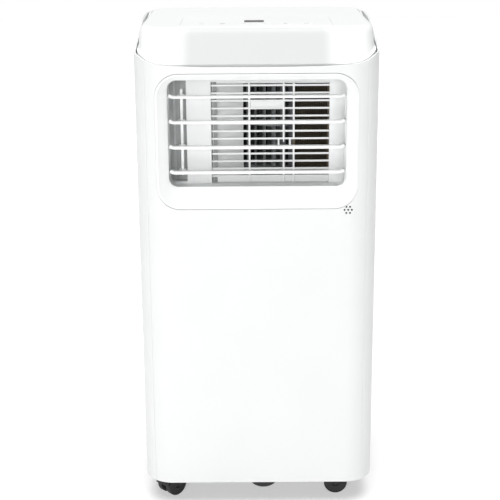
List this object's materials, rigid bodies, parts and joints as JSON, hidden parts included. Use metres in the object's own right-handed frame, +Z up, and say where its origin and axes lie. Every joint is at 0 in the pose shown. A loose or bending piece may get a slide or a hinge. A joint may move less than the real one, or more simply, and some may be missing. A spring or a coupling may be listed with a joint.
{
  "type": "portable air conditioner",
  "caption": "White floor-standing portable air conditioner on swivel casters, with a louvred outlet high on the front, push buttons on a sloping top cover and a hose port at the rear.",
  "frame": {"origin": "on the floor, under the middle of the cabinet", "axes": "+Z up, -Y towards the louvred front, +X to the right of someone facing the front"},
  "size_m": [0.32, 0.3, 0.664],
  "materials": {
    "shell_white": "satin moulded plastic",
    "trim_white": "satin moulded plastic",
    "duct_white": "matt moulded plastic",
    "display_black": "smoked gloss",
    "board_green": "lacquered board",
    "cap_grey": "matt moulded plastic",
    "fan_black": "matt moulded plastic",
    "shaft_steel": "ground",
    "machine_black": "satin paint",
    "tray_grey": "matt moulded plastic",
    "fin_aluminium": "close fins",
    "soft_rubber": "matt",
    "tube_copper": "drawn copper",
    "filter_mesh": "woven mesh",
    "caster_black": "satin moulded plastic"
  },
  "bodies": {
    "cabinet": {"front_panel": "shell_white", "left_side_panel": "shell_white", "right_side_panel": "shell_white", "rear_panel": "shell_white", "top_cover": "shell_white", "left_grip_cup": "trim_white", "right_grip_cup": "trim_white", "control_fascia": "trim_white", "vent_bezel": "trim_white", "exhaust_collar": "trim_white", "display_window": "display_black", "display_board": "board_green", "outlet_duct": "duct_white", "guard_grille": "duct_white", "blower_case": "duct_white", "exhaust_fan_case": "duct_white", "room_sensor": "cap_grey", "base_pan": "cap_grey", "fan_motor": "machine_black", "compressor": "machine_black", "accumulator": "machine_black", "middle_deck": "tray_grey", "control_box": "tray_grey", "evaporator": "fin_aluminium", "condenser": "fin_aluminium", "compressor_foot_1": "soft_rubber", "compressor_foot_2": "soft_rubber", "compressor_foot_3": "soft_rubber", "suction_pipe": "tube_copper", "discharge_pipe": "tube_copper", "cord_gland": "caster_black"},
    "fan_rotor": {"blower_wheel": "fan_black", "fan_shaft": "shaft_steel", "exhaust_fan_wheel": "fan_black"},
    "louver_1": {"louver_1": "trim_white"},
    "louver_2": {"louver_2": "trim_white"},
    "louver_3": {"louver_3": "trim_white"},
    "louver_4": {"louver_4": "trim_white"},
    "louver_link": {"louver_link": "trim_white"},
    "upper_filter": {"upper_filter_frame": "trim_white", "upper_filter_cloth": "filter_mesh"},
    "lower_filter": {"lower_filter_frame": "trim_white", "lower_filter_cloth": "filter_mesh"},
    "middle_drain_plug": {"middle_drain_plug": "soft_rubber"},
    "lower_drain_plug": {"lower_drain_plug": "soft_rubber"},
    "sump_drain_cap": {"sump_drain_cap": "cap_grey"},
    "button_power": {"button_power": "trim_white"},
    "button_mode": {"button_mode": "trim_white"},
    "button_cooler": {"button_cooler": "trim_white"},
    "button_warmer": {"button_warmer": "trim_white"},
    "button_fan": {"button_fan": "trim_white"},
    "button_timer": {"button_timer": "trim_white"},
    "caster_front_left": {"caster_front_left": "caster_black"},
    "wheels_front_left": {"wheels_front_left": "caster_black"},
    "caster_front_right": {"caster_front_right": "caster_black"},
    "wheels_front_right": {"wheels_front_right": "caster_black"},
    "caster_rear_left": {"caster_rear_left": "caster_black"},
    "wheels_rear_left": {"wheels_rear_left": "caster_black"},
    "caster_rear_right": {"caster_rear_right": "caster_black"},
    "wheels_rear_right": {"wheels_rear_right": "caster_black"}
  },
  "joints": [
    {"name": "fan_spin", "type": "hinge", "parent": "cabinet", "child": "fan_rotor", "pos_m": [0.028, 0, 0.5], "axis": [0, 0, 1], "continuous": true},
    {"name": "louver_1_tilt", "type": "hinge", "parent": "cabinet", "child": "louver_1", "pos_m": [0, -0.124, 0.475], "axis": [1, 0, 0], "range_deg": [-45, 50]},
    {"name": "louver_2_tilt", "type": "hinge", "parent": "cabinet", "child": "louver_2", "pos_m": [0, -0.124, 0.5086], "axis": [1, 0, 0], "range_deg": [-45, 50]},
    {"name": "louver_3_tilt", "type": "hinge", "parent": "cabinet", "child": "louver_3", "pos_m": [0, -0.124, 0.5422], "axis": [1, 0, 0], "range_deg": [-45, 50]},
    {"name": "louver_4_tilt", "type": "hinge", "parent": "cabinet", "child": "louver_4", "pos_m": [0, -0.124, 0.5758], "axis": [1, 0, 0], "range_deg": [-45, 50]},
    {"name": "louver_link_pivot", "type": "hinge", "parent": "louver_1", "child": "louver_link", "pos_m": [0, -0.10607, 0.47343], "axis": [1, 0, 0], "range_deg": [-50, 45]},
    {"name": "button_power_press", "type": "slide", "parent": "cabinet", "child": "button_power", "axis": [0, 0, -1], "range_m": [0, 0.0008], "stiffness_N_per_m": 600, "springref_m": -0.0008},
    {"name": "button_mode_press", "type": "slide", "parent": "cabinet", "child": "button_mode", "axis": [0, 0, -1], "range_m": [0, 0.0008], "stiffness_N_per_m": 600, "springref_m": -0.0008},
    {"name": "button_cooler_press", "type": "slide", "parent": "cabinet", "child": "button_cooler", "axis": [0, 0, -1], "range_m": [0, 0.0008], "stiffness_N_per_m": 600, "springref_m": -0.0008},
    {"name": "button_warmer_press", "type": "slide", "parent": "cabinet", "child": "button_warmer", "axis": [0, 0, -1], "range_m": [0, 0.0008], "stiffness_N_per_m": 600, "springref_m": -0.0008},
    {"name": "button_fan_press", "type": "slide", "parent": "cabinet", "child": "button_fan", "axis": [0, 0, -1], "range_m": [0, 0.0008], "stiffness_N_per_m": 600, "springref_m": -0.0008},
    {"name": "button_timer_press", "type": "slide", "parent": "cabinet", "child": "button_timer", "axis": [0, 0, -1], "range_m": [0, 0.0008], "stiffness_N_per_m": 600, "springref_m": -0.0008},
    {"name": "upper_filter_pull", "type": "slide", "parent": "cabinet", "child": "upper_filter", "axis": [0, 1, 0], "range_m": [0, 0.15]},
    {"name": "lower_filter_pull", "type": "slide", "parent": "cabinet", "child": "lower_filter", "axis": [0, 1, 0], "range_m": [0, 0.15]},
    {"name": "middle_drain_pull", "type": "slide", "parent": "cabinet", "child": "middle_drain_plug", "axis": [0, 1, 0], "range_m": [0, 0.03]},
    {"name": "lower_drain_pull", "type": "slide", "parent": "cabinet", "child": "lower_drain_plug", "axis": [0, 1, 0], "range_m": [0, 0.03]},
    {"name": "sump_cap_pull", "type": "slide", "parent": "cabinet", "child": "sump_drain_cap", "axis": [0, 0, -1], "range_m": [0, 0.0125]},
    {"name": "caster_front_left_swivel", "type": "hinge", "parent": "cabinet", "child": "caster_front_left", "pos_m": [-0.1185, -0.11, 0.04], "axis": [0, 0, 1], "continuous": true},
    {"name": "wheels_front_left_roll", "type": "hinge", "parent": "caster_front_left", "child": "wheels_front_left", "pos_m": [-0.12451, -0.11601, 0.0165], "axis": [0.7071, -0.7071, 0], "continuous": true},
    {"name": "caster_front_right_swivel", "type": "hinge", "parent": "cabinet", "child": "caster_front_right", "pos_m": [0.1185, -0.11, 0.04], "axis": [0, 0, 1], "continuous": true},
    {"name": "wheels_front_right_roll", "type": "hinge", "parent": "caster_front_right", "child": "wheels_front_right", "pos_m": [0.11, -0.11, 0.0165], "axis": [0, -1, 0], "continuous": true},
    {"name": "caster_rear_left_swivel", "type": "hinge", "parent": "cabinet", "child": "caster_rear_left", "pos_m": [-0.1185, 0.11, 0.04], "axis": [0, 0, 1], "continuous": true},
    {"name": "wheels_rear_left_roll", "type": "hinge", "parent": "caster_rear_left", "child": "wheels_rear_left", "pos_m": [-0.11425, 0.11736, 0.0165], "axis": [-0.866, 0.5, 0], "continuous": true},
    {"name": "caster_rear_right_swivel", "type": "hinge", "parent": "cabinet", "child": "caster_rear_right", "pos_m": [0.1185, 0.11, 0.04], "axis": [0, 0, 1], "continuous": true},
    {"name": "wheels_rear_right_roll", "type": "hinge", "parent": "caster_rear_right", "child": "wheels_rear_right", "pos_m": [0.11702, 0.11837, 0.0165], "axis": [-0.9848, -0.1736, 0], "continuous": true}
  ],
  "couplings": [
    {"joint": "louver_2_tilt", "follows": "louver_1_tilt", "ratio": 1},
    {"joint": "louver_3_tilt", "follows": "louver_1_tilt", "ratio": 1},
    {"joint": "louver_4_tilt", "follows": "louver_1_tilt", "ratio": 1},
    {"joint": "louver_link_pivot", "follows": "louver_1_tilt", "ratio": -1}
  ]
}
